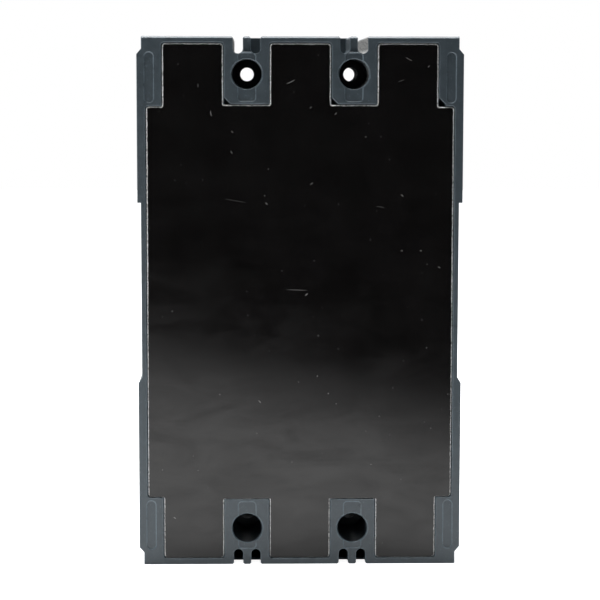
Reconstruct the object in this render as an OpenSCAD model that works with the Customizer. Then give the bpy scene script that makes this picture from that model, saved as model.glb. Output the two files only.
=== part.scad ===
// Three-pole molded case breaker, millimetres.
// +Z points to the line end, X runs across the poles, the back face is y = 0 and the front faces -Y.
// Depths are measured from the back face towards the front, so a depth d lies at y = -d.

/* [Case] */
// Height from the load end to the line end
case_h = 150; // [146:1:182]
// Depth of the base, from the back face to the parting plane
base_depth = 39.5; // [39.5:0.5:44]
// Depth of the front face over the back face
cover_depth = 68; // [66:0.5:84]
// Distance between the centres of two poles
pole_pitch = 30; // [29.5:0.5:36]
// Distance from an outer pole's centre to the side flange
side_reach = 15.75; // [15.25:0.25:19]
// Thickness of the wall between two poles
pole_wall = 3; // [2:0.1:3.6]
// Thickness of the outer side walls
side_wall = 2.25; // [1.6:0.05:3]
// Thickness of the base floor behind the conductors
floor_t = 4; // [3:0.1:5]
// How far each side steps in at the waist
waist_step = 1; // [0.5:0.1:1.5]
// How far each corner steps in
corner_step = 1.3; // [0.5:0.1:2]

/* [Mounting] */
// Distance of each mounting screw from the end of the case
mount_inset = 10.5; // [9.5:0.1:11]
// Diameter of the mounting screw hole
mount_hole = 4; // [3.8:0.1:5.5]
// Diameter of the wide bore at the back
mount_bore = 8.4; // [7:0.1:9]
// Depth at which the wide bore ends
mount_bore_depth = 22.6; // [10:0.1:30]

/* [Back plate] */
// Thickness of the insulating sheet
plate_t = 1; // [0.8:0.1:1.6]
// Gap between the sheet and its recess
plate_gap = 0.25; // [0.2:0.05:0.8]
// Distance from the sheet to the side of the case
plate_margin = 2.6; // [2.5:0.05:4]

/* [Terminals] */
// Length of each terminal compartment
terminal_l = 22.5; // [21:0.5:27]
// Width of each terminal compartment
terminal_w = 19; // [18:0.5:19.5]
// Width of the terminal pads
pad_w = 17; // [14:0.5:17.5]
// Depth of the terminal pads' front faces
pad_depth = 24; // [22:0.5:26]
// Diameter of the terminal screws
screw_d = 8; // [6:0.5:10]

/* [Mechanism] */
// Swing of the handle between OFF and ON, in degrees
handle_swing = 30; // [20:1:36]
// Distance of the handle's tip from its pivot
handle_reach = 59; // [54:0.5:72]
// Width of the handle's grip
grip_w = 16; // [12:0.5:17]
// Angle through which the crossbar opens the contacts, in degrees
contact_swing = 24; // [18:1:24]
// Radius of the crossbar
bar_r = 5.2; // [4.6:0.1:5.4]
// Distance from the crossbar's axis to the contact tips
arm_reach = 29; // [27:0.5:30]
// Travel of the trip button
button_travel = 2; // [1:0.1:2.2]

/* [Hidden] */
$fn = 48;

// Fits and small reliefs
eps = 0.01;
press = 0.03;
running = 0.06;
clear = 0.3;

// Case
case_c = "#5a5f65";
half_w = pole_pitch + side_reach;
waist_w = half_w - waist_step;
half_h = case_h / 2;
waist_top = 28.5;
waist_low = -21;
flange_slope = 1.7;
corner_l = 3.5;
corner_slope = 1.5;
end_wall = 2.5;
chamber_z = half_h - terminal_l - end_wall;
chamber_mid = pole_pitch / 2 - pole_wall / 2;
chamber_side = waist_w - side_wall;
poles = [-pole_pitch, 0, pole_pitch];
ribs = [-pole_pitch / 2, pole_pitch / 2];
ends = [-1, 1];

// Mounting and the rib beside each terminal
mount_z = half_h - mount_inset;
rib_w = pole_pitch - terminal_w;
slot_w = 2.8;
slot_off = 2.48;
slot_reach = 4.8;
slot_floor = 0.4;
low_slot_w = 2.65;
low_slot_reach = 4.4;
low_slot_open = 5.2;
low_slot_skin = 0.6;
blind_slot = 26;
rib_set_back = 1.5;
mark_depth = 0.25;

// Back plate
plate_rebate = 0.1;
plate_half = half_w - plate_margin;
tooth_side = pole_pitch + 8.65;
tooth_mid = 8.55;
tooth_in = pole_pitch - 8.4;
tooth_end = half_h - 1.95;
notch_z = half_h - 19.55;
pocket_z = half_h - 19.05;
plate_seat = plate_rebate + plate_t + 0.1;
tab_chamfer = 1.8;
tab_relief_depth = 9;

// Terminals
pad_t = 3;
pad_back = pad_depth - pad_t;
pad_end = half_h - 2;
screw_z = half_h - 12;
washer_t = 1.6;
spring_washer_t = 2;
head_h = 5;
nut_af = screw_d * 1.625;
nut_h = screw_d * 0.8125;
tunnel_w = 17.2;
rib_top = 60;
cover_screw_z = mount_z - 8.5;
cover_screw_r = 1.5;
cover_head_r = 3;

// Front
panel_z = chamber_z - 7;
panel_deck = 5;
panel_t = 2.5;
deck_d = cover_depth - panel_deck;
deck_t = 2.5;
window_z = 16.5;
escutcheon_h = 2;

// Mechanism, as [depth, height] points at the OFF position, higher where the trip unit needs the room
trip_room = 50;
mech_z = max(0, trip_room - chamber_z);
bar_at = [20, mech_z - 9];
yoke_at = [27, mech_z];
link_at = [41.73, mech_z];
upper_l = 11.8;
upper_off = 214.67;
drive_r = 9.185;
drive_off = 87.06;
cradle_at = [43.5, mech_z + 13];
latch_at = [36, mech_z - 25];
off_turn = handle_swing / 2;
knee_at = link_at + upper_l * [cos(upper_off), sin(upper_off)];
drive_at = bar_at + drive_r * [cos(drive_off), sin(drive_off)];
frame_x = [10.5, 12];
frame_z = [mech_z - 28, mech_z + 11];
frame_top = 47;
yoke_x = [9, 10.2];
upper_x = [1.3, 2.5];
lower_x = [2.8, 3.9];
ear_x = [4.2, 6.2];
knee_x = 8.6;
spring_x = 6.4;
pin_r = 1.2;
open_r = 1.9;
neck_r = 5.9;
yoke_r = 30;
yoke_plate = 1.5;
skirt_r = cover_depth - panel_t - yoke_at[0] - clear;
skirt_t = 1.7;
skirt_lap = 3.17;
skirt_angle = off_turn + asin((window_z + skirt_lap) / skirt_r);
skirt_half = 11.5;
arm_w = 5;
arm_t = 4;

// Conductors inside the case
strip_w = 12;
strip_t = 3;
load_w = 10;
load_t = 2.5;
contact_z = bar_at[1] + arm_reach;
turn_z = mech_z + 8;
upper_leg = 14.5;
turn_r = (upper_leg - floor_t) / 2;
tip_t = 2;
tip_l = 5;

// Arc chutes
chute_half = min(chamber_mid, chamber_side - pole_pitch) - 0.1;
chute_wall = 1.5;
chute_z = [mech_z + 12, chamber_z - 5];
chute_top = 38;
arc_count = 8;
arc_pitch = 2.6;
arc_t = 1.2;
arc_first = 17;

// Trip unit
bimetal_z = -chamber_z + 9;
yoke_z = -chamber_z + 12.5;
armature_z = -chamber_z + 4;
armature_pin_d = 13.5;
yoke_half = 7.5;
yoke_top = 27;
trip_z = yoke_z + 6.5;
trip_d = 36.5;
trip_r = 2.5;
calibration_d = 33;
button_x = pole_pitch - 10;
button_z = trip_z - 5;
button_r = 3;
button_rod = 1;
button_seat = deck_d + 0.5;
well_floor = button_seat - 2 * button_travel - 0.6;

// The range reaching r either side of a value, and the range between two offsets from it
function about(value, r) = [value - r, value + r];
function offset_from(value, low, high) = [value + low, value + high];

// A box between two x values, two depths and two heights
module slab(x, d, z) {
    translate([x[0], -d[1], z[0]])
        cube([x[1] - x[0], d[1] - d[0], z[1] - z[0]]);
}

// A round bar along X
module rod_x(x, at, r) {
    translate([x[0], -at[0], at[1]])
        rotate([0, 90, 0])
            cylinder(r = r, h = x[1] - x[0]);
}

// A round bar or cone running from one depth to another
module rod_y(x, z, d, r, r_front = undef) {
    translate([x, -d[0], z])
        rotate([90, 0, 0])
            cylinder(r1 = r, r2 = is_undef(r_front) ? r : r_front, h = d[1] - d[0]);
}

// A drawing in (x, z) carried from one depth to another
module front_sheet(d) {
    translate([0, -d[0], 0])
        rotate([90, 0, 0])
            linear_extrude(d[1] - d[0])
                children();
}

// A drawing in (depth, z) carried along X
module side_sheet(x) {
    translate([x[0], 0, 0])
        rotate([90, 0, 90])
            linear_extrude(x[1] - x[0])
                mirror([1, 0, 0])
                    children();
}

// Both members of a pair that lies either side of the middle
module pair() {
    children();
    mirror([1, 0, 0])
        children();
}

// Turns its children about an X axis through a [depth, height] point
module turned(at, angle) {
    translate([0, -at[0], at[1]])
        rotate([angle, 0, 0])
            translate([0, at[0], -at[1]])
                children();
}

// A rectangle with round corners, drawn between two corners
module round_rect(x, z, r) {
    translate([x[0] + r, z[0]])
        square([x[1] - x[0] - 2 * r, z[1] - z[0]]);
    translate([x[0], z[0] + r])
        square([x[1] - x[0], z[1] - z[0] - 2 * r]);
    for (cx = [x[0] + r, x[1] - r], cz = [z[0] + r, z[1] - r])
        translate([cx, cz])
            circle(r);
}

// A flat link with two round eyes a little wider than its bar, drawn in (depth, z)
module link_shape(a, b, r) {
    span = norm(b - a);
    across = 0.92 * r * [-(b - a)[1], (b - a)[0]] / span;
    polygon([a + across, b + across, b - across, a - across]);
    for (eye = [a, b])
        translate(eye)
            circle(r);
}

// A closed coil spring of round wire standing on z = 0
module coil(r, wire, length, turns) {
    sides = 6;
    steps = 10 * turns;
    rise = length - 2 * wire;
    points = [
        for (i = [0 : steps], j = [0 : sides - 1])
            let (a = 360 * turns * i / steps, b = 360 * j / sides, q = r + wire * cos(b))
                [q * cos(a), q * sin(a), wire + rise * i / steps + wire * sin(b)]
    ];
    skin = [
        for (i = [0 : steps - 1], j = [0 : sides - 1])
            let (a = i * sides + j, b = i * sides + (j + 1) % sides)
                each [[a, b, a + sides], [b, b + sides, a + sides]]
    ];
    foot = [for (j = [sides - 1 : -1 : 0]) j];
    top = [for (j = [0 : sides - 1]) steps * sides + j];
    polyhedron(points, [for (f = concat(skin, [foot, top])) [for (k = [len(f) - 1 : -1 : 0]) f[k]]]);
}

// ---- Case -------------------------------------------------------------------------------------

// Outline of the base from behind: stepped corners, wide flanges and a narrower waist
module case_outline() {
    corner_w = half_w - corner_step;
    side = [
        [corner_w, half_h],
        [corner_w, half_h - corner_l],
        [half_w, half_h - corner_l - corner_slope],
        [half_w, waist_top],
        [waist_w, waist_top],
        [waist_w, waist_low],
        [half_w, waist_low - flange_slope],
        [half_w, -half_h + corner_l + corner_slope],
        [corner_w, -half_h + corner_l],
        [corner_w, -half_h]
    ];
    other = [for (i = [len(side) - 1 : -1 : 0]) [-side[i][0], side[i][1]]];
    polygon(concat(side, other));
}

// Outline of the back plate: a field with three teeth at each end, grown by a gap
module plate_outline(gap) {
    corner = 1;
    round_rect([-plate_half - gap, plate_half + gap], [-notch_z - gap, notch_z + gap], corner);
    pocket_x = tooth_in + gap;
    round_rect([-pocket_x, pocket_x], [-pocket_z + gap, pocket_z - gap] + [-2 * gap, 2 * gap], corner);
    round_rect([-tooth_mid - gap, tooth_mid + gap], [-tooth_end - gap, tooth_end + gap], corner);
    for (s = ends)
        scale([s, 1])
            round_rect([tooth_in - gap, tooth_side + gap], [-tooth_end - gap, tooth_end + gap], corner);
}

// The three small deep corner reliefs beside the teeth at the line end
module tab_reliefs() {
    z = pocket_z + plate_gap;
    for (x = [tooth_in - plate_gap, -tooth_mid - plate_gap, -tooth_side - plate_gap])
        polygon([
            [x + eps, z - 1], [x + eps, z + tab_chamfer],
            [x - tab_chamfer, z], [x - tab_chamfer, z - 1]
        ]);
}

// One round-ended slot in the end of a rib
module rib_slot(x, w = slot_w, reach = slot_reach) {
    r = w / 2;
    flare = 0.4;
    start = half_h - reach + r;
    translate([x, start])
        circle(r);
    translate([x - r, start])
        square([w, half_h]);
    polygon([
        [x - r, half_h - flare], [x - r - flare, half_h + eps],
        [x + r + flare, half_h + eps], [x + r, half_h - flare]
    ]);
}

// The x range of one pole's chamber
function chamber_x(pole) =
    pole < 0 ? [-chamber_side, -pole_pitch + chamber_mid] :
    pole > 0 ? [pole_pitch - chamber_mid, chamber_side] :
    [-chamber_mid, chamber_mid];

module base() {
    color(case_c)
        difference() {
            front_sheet([0, base_depth])
                case_outline();
            front_sheet([-eps, plate_seat])
                plate_outline(plate_gap);
            front_sheet([-eps, tab_relief_depth])
                tab_reliefs();
            for (pole = poles)
                base_pole_cuts(pole);
            for (x = ribs, s = ends)
                base_rib_cuts(x, s);
            base_wall_notches();
            corner_marks();
            end_chamfer();
        }
}

// The chamber, the terminal compartments, the nut pockets and the conductor tunnels of one pole
module base_pole_cuts(pole) {
    slab(chamber_x(pole), [floor_t, base_depth + eps], [-chamber_z, chamber_z]);
    for (s = ends)
        scale([1, 1, s]) {
            slab(about(pole, terminal_w / 2), [pad_back, base_depth + eps],
                [half_h - terminal_l, half_h + eps]);
            slab(about(pole, tunnel_w / 2), [pad_back, base_depth + eps],
                [chamber_z - eps, half_h - terminal_l + eps]);
            translate([pole, -pad_back + nut_h + clear, screw_z])
                rotate([90, 0, 0])
                    cylinder(r = (nut_af / 2 + running) / cos(30), h = nut_h + clear + eps, $fn = 6);
            rod_y(pole, screw_z, [-eps, pad_back], screw_d / 2 + clear);
        }
}

// Mounting bore, end slots, shallow mark and cover screw hole of one rib
module base_rib_cuts(x, s) {
    rim = 0.3;
    scale([1, 1, s]) {
        rod_y(x, mount_z, [-eps, mount_bore_depth], mount_bore / 2);
        rod_y(x, mount_z, [-eps, rim], mount_bore / 2 + rim, mount_bore / 2);
        rod_y(x, mount_z, [0, base_depth + eps], mount_hole / 2);
        rod_y(x, cover_screw_z, [base_depth - 14, base_depth + eps], cover_screw_r + press);
        if (s > 0)
            line_slots(x);
        else
            load_slots(x);
        front_sheet([-eps, mark_depth])
            round_rect([x - 2.5, x + 2.5], [mount_z - 7.6, mount_z + 5.9], 1);
    }
}

// The line end's outer slot runs through, its inner slot is blind, and the rib is set back between them
module line_slots(x) {
    front_sheet([-eps, base_depth + eps])
        rib_slot(x + sign(x) * slot_off);
    front_sheet([-eps, blind_slot])
        rib_slot(x - sign(x) * slot_off);
    front_sheet([-eps, rib_set_back])
        translate([x - slot_off, half_h - slot_reach + slot_floor])
            square([2 * slot_off, slot_reach]);
}

// Both slots of the load end are blind, and open through the end only near the back face
module load_slots(x) {
    for (side = ends) {
        front_sheet([-eps, low_slot_open])
            rib_slot(x + side * slot_off, low_slot_w, low_slot_reach);
        front_sheet([low_slot_open - eps, blind_slot])
            intersection() {
                rib_slot(x + side * slot_off, low_slot_w, low_slot_reach);
                translate([-half_w, 0])
                    square([2 * half_w, half_h - low_slot_skin]);
            }
    }
}

// Bearing notches for the crossbar and the trip bar, open to the parting plane
module base_wall_notches() {
    for (bearing = [[bar_at, bar_r], [[trip_d, trip_z], trip_r]]) {
        at = bearing[0];
        r = bearing[1] + running;
        for (x = ribs) {
            rod_x(about(x, pole_wall), at, r);
            slab(about(x, pole_wall), [at[0], base_depth + eps], [at[1] - r, at[1] + r]);
        }
    }
}

// Shallow oval marks near the four corners of the back
module corner_marks() {
    r = 1.32;
    front_sheet([-eps, mark_depth])
        for (sx = ends, sz = ends)
            scale([sx, sz])
                round_rect([half_w - 4.75, half_w - 4.75 + 2 * r], [half_h - 18.5, half_h - 4.4], r - eps);
}

// Chamfer along the back edge of the line end, and of the ribs set back between the slots
module end_chamfer() {
    c = 0.5;
    for (edge = [[[-half_w, half_w], 0], each [for (x = ribs) [about(x, slot_off), rib_set_back]]])
        side_sheet(edge[0])
            polygon([
                [edge[1] - eps, half_h - c], [edge[1] + c, half_h + eps], [edge[1] - eps, half_h + eps]
            ]);
}

module back_plate() {
    color("#17181a")
        front_sheet([plate_rebate, plate_rebate + plate_t])
            plate_outline(0);
}

module cover() {
    color(case_c)
        difference() {
            union() {
                cover_shell();
                cover_ribs();
                cover_tongues();
                rod_y(button_x, button_z, [well_floor - 1.5, deck_d - 1], button_r + 2.8);
            }
            slab([-half_w, half_w], [deck_d, cover_depth + eps], [-panel_z, panel_z]);
            slab([-skirt_half - 1, skirt_half + 1], [deck_d - deck_t - eps, deck_d + eps],
                about(mech_z, window_z + 6.5));
            for (x = ribs, s = ends)
                cover_rib_cuts(x, s);
            rod_y(button_x, button_z, [well_floor, deck_d + eps], button_r + 1.4);
            rod_y(button_x, button_z, [well_floor - 2, deck_d], button_rod + running);
        }
}

// The box over the three chambers
module cover_shell() {
    difference() {
        slab([-waist_w, waist_w], [base_depth, cover_depth], about(0, chamber_z + end_wall));
        for (pole = poles)
            slab(chamber_x(pole), [base_depth - eps, deck_d - deck_t], [-chamber_z, chamber_z]);
    }
}

// Tongues that close the conductor tunnels at the load end
module cover_tongues() {
    for (pole = poles)
        slab(about(pole, tunnel_w / 2 - 0.1), [pad_depth + 0.1, base_depth + eps],
            [-chamber_z - end_wall + 0.1, -chamber_z - 0.1]);
}

// Ribs and side cheeks beside the terminal compartments
module cover_ribs() {
    for (s = ends)
        scale([1, 1, s]) {
            for (x = ribs)
                slab(about(x, rib_w / 2), [base_depth, rib_top], [chamber_z, half_h]);
            pair()
                slab([pole_pitch + terminal_w / 2, half_w - corner_step], [base_depth, rib_top],
                    [chamber_z, half_h]);
        }
}

// Screw bores of one rib, and the outer slot that runs through the rib at the line end
module cover_rib_cuts(x, s) {
    scale([1, 1, s]) {
        rod_y(x, mount_z, [base_depth - eps, rib_top + eps], mount_bore / 2);
        rod_y(x, cover_screw_z, [base_depth - eps, rib_top + eps], cover_screw_r + clear);
        rod_y(x, cover_screw_z, [rib_top - 4, rib_top + eps], cover_head_r + clear);
    }
    if (s > 0)
        front_sheet([base_depth - eps, rib_top + eps])
            rib_slot(x + sign(x) * slot_off);
}

module front_panel() {
    gap = 0.2;
    rim = 2;
    top_z = panel_z - gap;
    color("#6b7076")
        difference() {
            union() {
                front_sheet([deck_d, cover_depth])
                    round_rect([-waist_w, waist_w], [-top_z, top_z], 1);
                front_sheet([cover_depth - eps, cover_depth + escutcheon_h])
                    round_rect(about(0, grip_w / 2 + 4.5), about(mech_z, window_z + 4.5), 2);
            }
            slab([-waist_w + rim, waist_w - rim], [deck_d - eps, cover_depth - panel_t],
                [-top_z + rim, top_z - rim]);
            front_sheet([deck_d, cover_depth + escutcheon_h + eps])
                round_rect(about(0, grip_w / 2 + 1), about(mech_z, window_z), 1);
            rod_y(button_x, button_z, [deck_d, cover_depth + eps], button_r + running);
        }
}

module label_plate() {
    color("#c9cbc8")
        front_sheet([cover_depth, cover_depth + 0.3])
            round_rect([-waist_w + 4, -grip_w / 2 - 8], [-18, 30], 1.5);
}

module cover_screws() {
    color("#9b9a94")
        for (x = ribs, s = ends)
            scale([1, 1, s])
                difference() {
                    union() {
                        rod_y(x, cover_screw_z, [base_depth - 12, rib_top - 4], cover_screw_r);
                        rod_y(x, cover_screw_z, [rib_top - 4, rib_top - 1.5], cover_head_r);
                    }
                    slab([x - 2, x + 2], [rib_top - 2.5, rib_top], about(cover_screw_z, 0.4));
                    slab(about(x, 0.4), [rib_top - 2.5, rib_top], [cover_screw_z - 2, cover_screw_z + 2]);
                }
}

// ---- Current path -----------------------------------------------------------------------------

// Terminal pad with its screw hole, running in through the tunnel to the riser
module terminal_pad(pole, width, riser_t) {
    difference() {
        union() {
            slab(about(pole, pad_w / 2), [pad_back, pad_depth], [half_h - terminal_l + clear, pad_end]);
            slab(about(pole, width / 2), [pad_back, pad_depth], [chamber_z - riser_t, pad_end - 5]);
        }
        rod_y(pole, screw_z, [pad_back - 1, pad_depth + 1], screw_d / 2 + 0.25);
    }
}

// Line conductor: pad, riser, run along the floor, and a leg turned back over it
module line_conductor(pole) {
    x = about(pole, strip_w / 2);
    riser = chamber_z - 0.2 - strip_t;
    color("#b9703f") {
        terminal_pad(pole, strip_w, strip_t + 0.2);
        slab(x, [floor_t, pad_depth], [riser, riser + strip_t]);
        slab(x, [floor_t, floor_t + strip_t], [turn_z, riser + strip_t]);
        slab(x, [upper_leg - strip_t, upper_leg], [turn_z, contact_z + 6]);
        side_sheet(x)
            difference() {
                translate([floor_t + turn_r, turn_z])
                    circle(turn_r);
                translate([floor_t + turn_r, turn_z])
                    circle(turn_r - strip_t);
                translate([0, turn_z])
                    square([40, 40]);
            }
    }
}

module fixed_contact_tips() {
    color("#c8c8c4")
        for (pole = poles)
            slab([pole - 2.5, pole + 2.5], [upper_leg, upper_leg + tip_t], about(contact_z, tip_l / 2));
}

// Load strip: pad, riser and the heated run along the floor
module load_terminal(pole) {
    x = about(pole, load_w / 2);
    color("#b9703f")
        scale([1, 1, -1]) {
            terminal_pad(pole, load_w, load_t + 0.2);
            slab(x, [floor_t, pad_depth], [chamber_z - 0.2 - load_t, chamber_z - 0.2]);
            slab(x, [floor_t, floor_t + load_t], [-yoke_z - 9, chamber_z - 0.2]);
        }
}

module terminal_screws() {
    washers = pad_depth + washer_t + spring_washer_t;
    color("#a7a8a6")
        for (pole = poles, s = ends)
            scale([1, 1, s])
                difference() {
                    union() {
                        rod_y(pole, screw_z, [pad_back - nut_h - 3, washers], screw_d / 2 - running);
                        rod_y(pole, screw_z, [washers, washers + head_h], screw_d * 0.8);
                    }
                    translate([pole, -washers - head_h / 2, screw_z])
                        rotate([90, 0, 0])
                            cylinder(d = screw_d * 0.75 / cos(30), h = head_h, $fn = 6);
                }
}

// A ring under each terminal screw's head
module terminal_rings(d, outer, inner) {
    for (pole = poles, s = ends)
        scale([1, 1, s])
            difference() {
                rod_y(pole, screw_z, d, outer);
                rod_y(pole, screw_z, [d[0] - 1, d[1] + 1], inner);
            }
}

module terminal_flat_washers() {
    color("#b5b5b0")
        terminal_rings([pad_depth, pad_depth + washer_t], screw_d * 0.95, screw_d / 2 + 0.2);
}

module terminal_spring_washers() {
    start = pad_depth + washer_t;
    color("#8b8c8a")
        difference() {
            terminal_rings([start, start + spring_washer_t], screw_d * 0.75, screw_d / 2 + 0.1);
            for (pole = poles, s = ends)
                scale([1, 1, s])
                    slab(about(pole, 0.5), [start - 1, start + 5], [screw_z, half_h]);
        }
}

module terminal_nuts() {
    color("#a7a8a6")
        for (pole = poles, s = ends)
            scale([1, 1, s])
                difference() {
                    translate([pole, -pad_back + nut_h, screw_z])
                        rotate([90, 0, 0])
                            cylinder(d = nut_af / cos(30), h = nut_h, $fn = 6);
                    rod_y(pole, screw_z, [0, pad_back + 1], screw_d / 2);
                }
}

// ---- Arc chutes -------------------------------------------------------------------------------

// A stack of steel plates, each notched where the contact arm swings through
module arc_plates(pole) {
    inner = chute_half - chute_wall;
    color("#8f918f")
        for (i = [0 : arc_count - 1])
            translate([pole, 0, 0])
                front_sheet(offset_from(arc_first + arc_pitch * i, 0, arc_t))
                    difference() {
                        translate([-inner, chute_z[0] + 2])
                            square([2 * inner, chute_z[1] - chute_z[0] - 3]);
                        polygon([
                            [-5, turn_z], [5, turn_z], [5, contact_z + 4], [0, contact_z + 9],
                            [-5, contact_z + 4]
                        ]);
                    }
}

module arc_chute_walls() {
    color("#c9b48c")
        for (pole = poles)
            translate([pole, 0, 0])
                pair()
                    slab([chute_half - chute_wall, chute_half], [floor_t, chute_top], chute_z);
}

module vent_baffles() {
    gap = 0.1;
    color("#b79a6c")
        for (pole = poles)
            difference() {
                slab([pole - tunnel_w / 2 + gap, pole + tunnel_w / 2 - gap], [pad_depth, base_depth - gap],
                    [chamber_z + gap, chamber_z + end_wall - gap]);
                for (x = [-5, 0, 5])
                    slab(about(pole + x, 1), [pad_depth + 4, base_depth - 4], [chamber_z - 1, chamber_z + 5]);
            }
}

// ---- Trip unit --------------------------------------------------------------------------------

module bimetal(pole) {
    t = 0.8;
    foot = floor_t + load_t;
    color("#a89a86")
        difference() {
            union() {
                slab([pole - 4, pole + 4], [foot, calibration_d + 2.5], [bimetal_z, bimetal_z + t]);
                slab([pole - 4, pole + 4], [foot, foot + t], [bimetal_z, yoke_z - 0.3]);
            }
            translate([pole, -calibration_d, bimetal_z - 1])
                cylinder(r = 1.2 + press, h = 5);
        }
}

module calibration_screws() {
    color("#a58b4e")
        for (pole = poles)
            translate([pole, -calibration_d, bimetal_z]) {
                translate([0, 0, -1])
                    cylinder(r = 1.2, h = trip_z - 3.2 - bimetal_z);
                translate([0, 0, -2])
                    cylinder(r = 2.2, h = 1.5);
            }
}

// A bent steel channel round the bimetal, with two ears for the armature's pin
module magnet_yoke(pole) {
    t = 1.5;
    legs = armature_z + 2.4;
    color("#7d8083")
        translate([pole, 0, 0])
            difference() {
                union() {
                    slab([-yoke_half, yoke_half], [floor_t + load_t, yoke_top], [yoke_z, yoke_z + t]);
                    pair() {
                        slab([yoke_half - t, yoke_half], [11.5, yoke_top], [legs, yoke_z + t]);
                        slab([yoke_half - t, yoke_half], [11.5, 15.5], [armature_z - 1.2, yoke_z]);
                    }
                }
                rod_x([-20, 20], [armature_pin_d, armature_z], 0.9 + running);
            }
}

// The hinged plate in front of the channel, with its pin and the finger that reaches the trip bar
module armature(pole) {
    t = 1.2;
    face = armature_z + t / 2;
    finger = 28.8;
    color("#8d9093")
        translate([pole, 0, 0]) {
            slab([-5.6, 5.6], [12.6, 17], [face - t, face]);
            slab([-yoke_half, yoke_half], [16.4, finger + 1.6], [face - t, face]);
            slab([5, yoke_half], [finger, finger + 1.6], [face - t, trip_z - 4.6]);
            rod_x([-yoke_half, yoke_half], [armature_pin_d, armature_z], 0.9);
        }
}

// A bar across all poles with a lever for each pole and one for the trip button
module trip_bar() {
    color("#3c3f44") {
        rod_x([-chamber_side + 1.5, chamber_side - 1.5], [trip_d, trip_z], trip_r);
        for (pole = poles)
            slab(about(pole, yoke_half), [25.5, trip_d], [trip_z - 2.2, trip_z - 0.6]);
        slab(about(button_x, 1.6), [trip_d + 0.7, trip_d + 2.4], [button_z - 2, trip_z]);
    }
}

module trip_button() {
    foot = trip_d + 3.2;
    flange = 1.6;
    proud = 1;
    color("#b3261e") {
        rod_y(button_x, button_z, [foot, button_seat + flange], button_rod);
        rod_y(button_x, button_z, [button_seat, button_seat + flange], button_r + 1);
        rod_y(button_x, button_z, [button_seat, cover_depth + proud], button_r);
    }
}

module trip_button_spring() {
    color("#b9bbb8")
        translate([button_x, -well_floor, button_z])
            rotate([90, 0, 0])
                coil(2.2, 0.25, button_seat - well_floor, 4);
}

// ---- Mechanism --------------------------------------------------------------------------------

// One side plate of the mechanism's frame, feet on the base floor
module mechanism_frame() {
    color("#9a9c9b")
        side_sheet(frame_x)
            difference() {
                union() {
                    translate([floor_t, frame_z[0]])
                        square([frame_top - floor_t, frame_z[1] - frame_z[0]]);
                    translate([chute_top + 0.6, frame_z[1] - 1])
                        square([frame_top - chute_top - 0.6, 7]);
                }
                translate(bar_at)
                    circle(bar_r + 1.5);
                translate([0, bar_at[1] - bar_r - 1.5])
                    square([bar_at[0], 2 * bar_r + 3]);
                translate(yoke_at)
                    circle(2 + running);
                translate(cradle_at)
                    circle(2 + press);
                translate(latch_at)
                    circle(1.5 + press);
            }
}

module mechanism_frame_right() {
    mechanism_frame();
}

module mechanism_frame_left() {
    mirror([1, 0, 0])
        mechanism_frame();
}

module handle_yoke() {
    color("#a3a5a3")
        turned(yoke_at, off_turn)
            difference() {
                union() {
                    pair() {
                        side_sheet(yoke_x)
                            union() {
                                translate(yoke_at)
                                    circle(4.5);
                                translate(yoke_at + [0, -4.5])
                                    square([yoke_r, 9]);
                            }
                        rod_x([yoke_x[0], frame_x[1]], yoke_at, 2);
                    }
                    slab(about(0, yoke_x[1]), offset_from(yoke_at[0] + yoke_r, -yoke_plate, 0),
                        about(0, 4.5));
                }
                for (x = [-spring_x, spring_x])
                    rod_y(x, yoke_at[1], [0, 90], 1);
            }
}

// Curved skirt, body and grip, moulded in one
module handle() {
    outer = yoke_at[0] + handle_reach;
    stem = yoke_at[0] + skirt_r - 1;
    color("#202327")
        turned(yoke_at, off_turn) {
            side_sheet([-skirt_half, skirt_half])
                translate(yoke_at)
                    intersection() {
                        difference() {
                            circle(skirt_r, $fn = 120);
                            circle(skirt_r - skirt_t, $fn = 120);
                        }
                        polygon([[0, 0], 60 * [cos(skirt_angle), -sin(skirt_angle)], [60, 0],
                            60 * [cos(skirt_angle), sin(skirt_angle)]]);
                    }
            slab([-grip_w / 2, grip_w / 2], [yoke_at[0] + yoke_r, stem], [-4.5, 4.5]);
            side_sheet([-grip_w / 2, grip_w / 2])
                polygon([[stem - 1, -4.2], [outer - 2.5, -3.3], [outer, -1.8], [outer, 1.8],
                    [outer - 2.5, 3.3], [stem - 1, 4.2]]);
        }
}

// Two springs from the yoke's top down to the toggle pin
module main_springs() {
    hook = yoke_at + (yoke_r - yoke_plate) * [cos(-off_turn), sin(-off_turn)];
    run = hook - knee_at;
    length = norm(run) - pin_r - 0.3;
    color("#b9bbb8")
        for (x = [-spring_x, spring_x])
            translate([x, -knee_at[0], knee_at[1]])
                rotate([atan2(run[0], run[1]), 0, 0])
                    translate([0, 0, pin_r + 0.2])
                        coil(1.8, 0.5, length, 9);
}

// Crossbar pieces are drawn with the contacts closed and turned open about the bar
module opened() {
    turned(bar_at, contact_swing)
        children();
}

// The arch on the crossbar that a contact spring pushes against
module crossbar_hood(pole) {
    x = about(pole, 2.6);
    under = 5.4;
    over = 6.8;
    slab(x, offset_from(bar_at[0], 3, over), offset_from(bar_at[1], -3, 3.4));
    slab(x, offset_from(bar_at[0], under, over), offset_from(bar_at[1], 0, 12));
}

module crossbar() {
    color("#2b2e33")
        difference() {
            union() {
                rod_x([-chamber_side + 1, chamber_side - 1], bar_at, bar_r);
                opened()
                    for (pole = poles)
                        crossbar_hood(pole);
                pair()
                    side_sheet(ear_x)
                        link_shape(bar_at, drive_at, 3);
            }
            opened()
                for (pole = poles)
                    slab(about(pole, arm_w / 2 + clear), about(bar_at[0], arm_t / 2 + clear),
                        about(bar_at[1], bar_r + 5));
            for (pole = poles)
                rod_x([pole - 5, pole + 5], bar_at, 1 + press);
            rod_x([-ear_x[1] - 1, ear_x[1] + 1], drive_at, pin_r + press);
            pair()
                crossbar_neck([lower_x[0] - 0.15, lower_x[1] + 0.15]);
        }
}

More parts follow.
